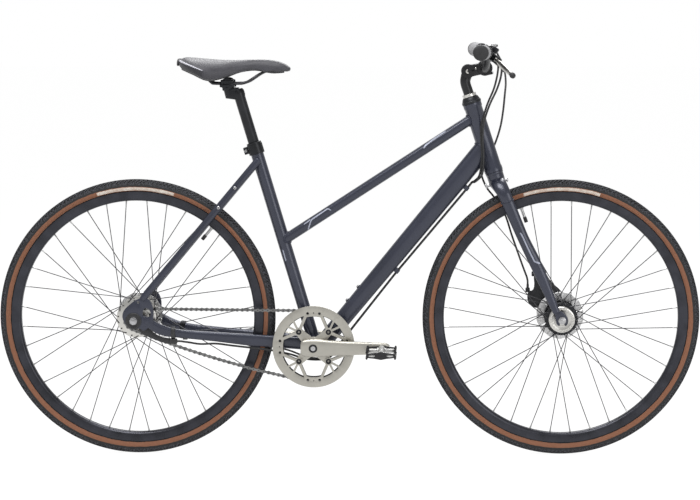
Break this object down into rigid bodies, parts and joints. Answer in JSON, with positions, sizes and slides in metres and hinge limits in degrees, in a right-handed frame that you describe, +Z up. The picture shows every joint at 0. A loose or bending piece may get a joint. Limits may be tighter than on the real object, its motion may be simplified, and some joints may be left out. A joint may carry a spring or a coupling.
{
  "type": "city bicycle",
  "caption": "City bicycle with a step-over tube frame, rigid fork, roller brakes, chain drive, swept handlebar and padded saddle.",
  "frame": {"origin": "on the ground in the mid plane, halfway between the wheel axles, which is the middle of the box's bottom", "axes": "+X forward along the bicycle, +Y to the rider's left, +Z up"},
  "size_m": [1.752, 0.61, 1.0333],
  "materials": {
    "frame_paint": "matt dark slate",
    "black_metal": "satin black",
    "silver": "polished",
    "champagne": "satin champagne",
    "steel": "plain",
    "tyre_rubber": "black tread",
    "black_plastic": "satin black",
    "grip_rubber": "soft grey",
    "saddle_cover": "matt black cover"
  },
  "bodies": {
    "frame": {"head_tube": "frame_paint", "top_tube": "frame_paint", "down_tube": "frame_paint", "seat_tube": "frame_paint", "bottom_bracket_shell": "frame_paint", "chainstay_right": "frame_paint", "chainstay_left": "frame_paint", "seatstay_right": "frame_paint", "seatstay_left": "frame_paint", "seat_clamp": "black_metal", "bb_cartridge": "black_metal", "rear_axle": "steel", "rear_brake_unit": "black_metal", "gear_cable_arm": "black_metal", "shift_cable": "black_plastic", "rear_brake_cable": "black_plastic", "chain": "steel"},
    "rear_cam": {"rear_brake_cam": "steel"},
    "front_cam": {"front_brake_cam": "steel"},
    "seat": {"seatpost": "black_metal", "saddle_clamp": "black_metal", "saddle_rails": "steel", "saddle_base": "black_plastic", "saddle_pad": "saddle_cover"},
    "cranks": {"crank_spindle": "steel", "crank_arm_right": "champagne", "crank_arm_left": "champagne", "chainring": "champagne", "chain_guard": "champagne", "pedal_axle_right": "steel", "pedal_axle_left": "steel"},
    "right_pedal": {"pedal_right": "black_plastic"},
    "left_pedal": {"pedal_left": "black_plastic"},
    "driver": {"rear_sprocket": "steel"},
    "rear_wheel": {"rear_tyre": "tyre_rubber", "rear_rim": "black_metal", "rear_hub": "silver", "rear_brake_disc": "silver"},
    "front_wheel": {"front_tyre": "tyre_rubber", "front_rim": "black_metal", "front_hub": "black_metal", "front_brake_disc": "silver"},
    "steering": {"fork_crown": "frame_paint", "fork_blade_right": "frame_paint", "fork_blade_left": "frame_paint", "headset_cap": "black_metal", "front_axle": "steel", "front_brake_unit": "black_metal", "stem_column": "black_metal", "front_brake_cable": "black_plastic"},
    "bars": {"stem_arm": "black_metal", "handlebar": "black_metal", "grip_right": "grip_rubber", "grip_left": "grip_rubber", "brake_mount_right": "black_metal", "brake_mount_left": "black_metal", "bell": "black_plastic"},
    "right_lever": {"brake_lever_right": "silver"},
    "left_lever": {"brake_lever_left": "silver"},
    "twist_ring": {"shifter": "black_plastic"}
  },
  "joints": [
    {"name": "steer", "type": "hinge", "parent": "frame", "child": "steering", "pos_m": [0.30669, 0, 0.88119], "axis": [-0.309, 0, 0.9511], "range_deg": [-70, 70], "deforming": ["rear_brake_cable", "shift_cable"]},
    {"name": "stem_angle", "type": "hinge", "parent": "steering", "child": "bars", "pos_m": [0.29692, 0, 0.96108], "axis": [0, -1, 0], "range_deg": [-20, 30], "deforming": ["front_brake_cable", "rear_brake_cable", "shift_cable"]},
    {"name": "seatpost_slide", "type": "slide", "parent": "frame", "child": "seat", "axis": [-0.2857, 0, 0.9583], "range_m": [-0.1, 0.08]},
    {"name": "rear_wheel_spin", "type": "hinge", "parent": "frame", "child": "rear_wheel", "pos_m": [-0.53, 0, 0.346], "axis": [0, 1, 0], "continuous": true},
    {"name": "front_wheel_spin", "type": "hinge", "parent": "steering", "child": "front_wheel", "pos_m": [0.53, 0, 0.346], "axis": [0, 1, 0], "continuous": true},
    {"name": "crank_spin", "type": "hinge", "parent": "frame", "child": "cranks", "pos_m": [-0.0857, 0, 0.279], "axis": [0, 1, 0], "continuous": true, "deforming": ["chain"]},
    {"name": "driver_spin", "type": "hinge", "parent": "frame", "child": "driver", "pos_m": [-0.53, 0, 0.346], "axis": [0, 1, 0], "continuous": true, "deforming": ["chain"]},
    {"name": "right_pedal_spin", "type": "hinge", "parent": "cranks", "child": "right_pedal", "pos_m": [0.0843, 0, 0.279], "axis": [0, 1, 0], "continuous": true},
    {"name": "left_pedal_spin", "type": "hinge", "parent": "cranks", "child": "left_pedal", "pos_m": [-0.2557, 0, 0.279], "axis": [0, 1, 0], "continuous": true},
    {"name": "right_lever_pull", "type": "hinge", "parent": "bars", "child": "right_lever", "pos_m": [0.36099, -0.16611, 0.99219], "axis": [-0.5985, 0.071, -0.798], "range_deg": [0, 22], "stiffness_Nm_per_rad": 2, "springref_deg": -8.59, "deforming": ["rear_brake_cable"]},
    {"name": "left_lever_pull", "type": "hinge", "parent": "bars", "child": "left_lever", "pos_m": [0.36099, 0.16611, 0.99219], "axis": [0.5985, 0.071, 0.798], "range_deg": [0, 22], "stiffness_Nm_per_rad": 2, "springref_deg": -8.59, "deforming": ["front_brake_cable"]},
    {"name": "rear_cam_turn", "type": "hinge", "parent": "frame", "child": "rear_cam", "pos_m": [-0.53, 0, 0.312], "axis": [0, -1, 0], "range_deg": [0, 16], "deforming": ["rear_brake_cable"]},
    {"name": "front_cam_turn", "type": "hinge", "parent": "steering", "child": "front_cam", "pos_m": [0.48, 0, 0.38], "axis": [0, 1, 0], "range_deg": [0, 16], "deforming": ["front_brake_cable"]},
    {"name": "gear_twist", "type": "hinge", "parent": "bars", "child": "twist_ring", "pos_m": [0.33402, -0.1885, 1.01042], "axis": [-0.1255, -0.9921, 0.0058], "range_deg": [-60, 60]}
  ],
  "couplings": [
    {"joint": "driver_spin", "follows": "crank_spin", "ratio": 3.3846},
    {"joint": "rear_cam_turn", "follows": "right_lever_pull", "ratio": 0.68182},
    {"joint": "front_cam_turn", "follows": "left_lever_pull", "ratio": 0.68182}
  ]
}
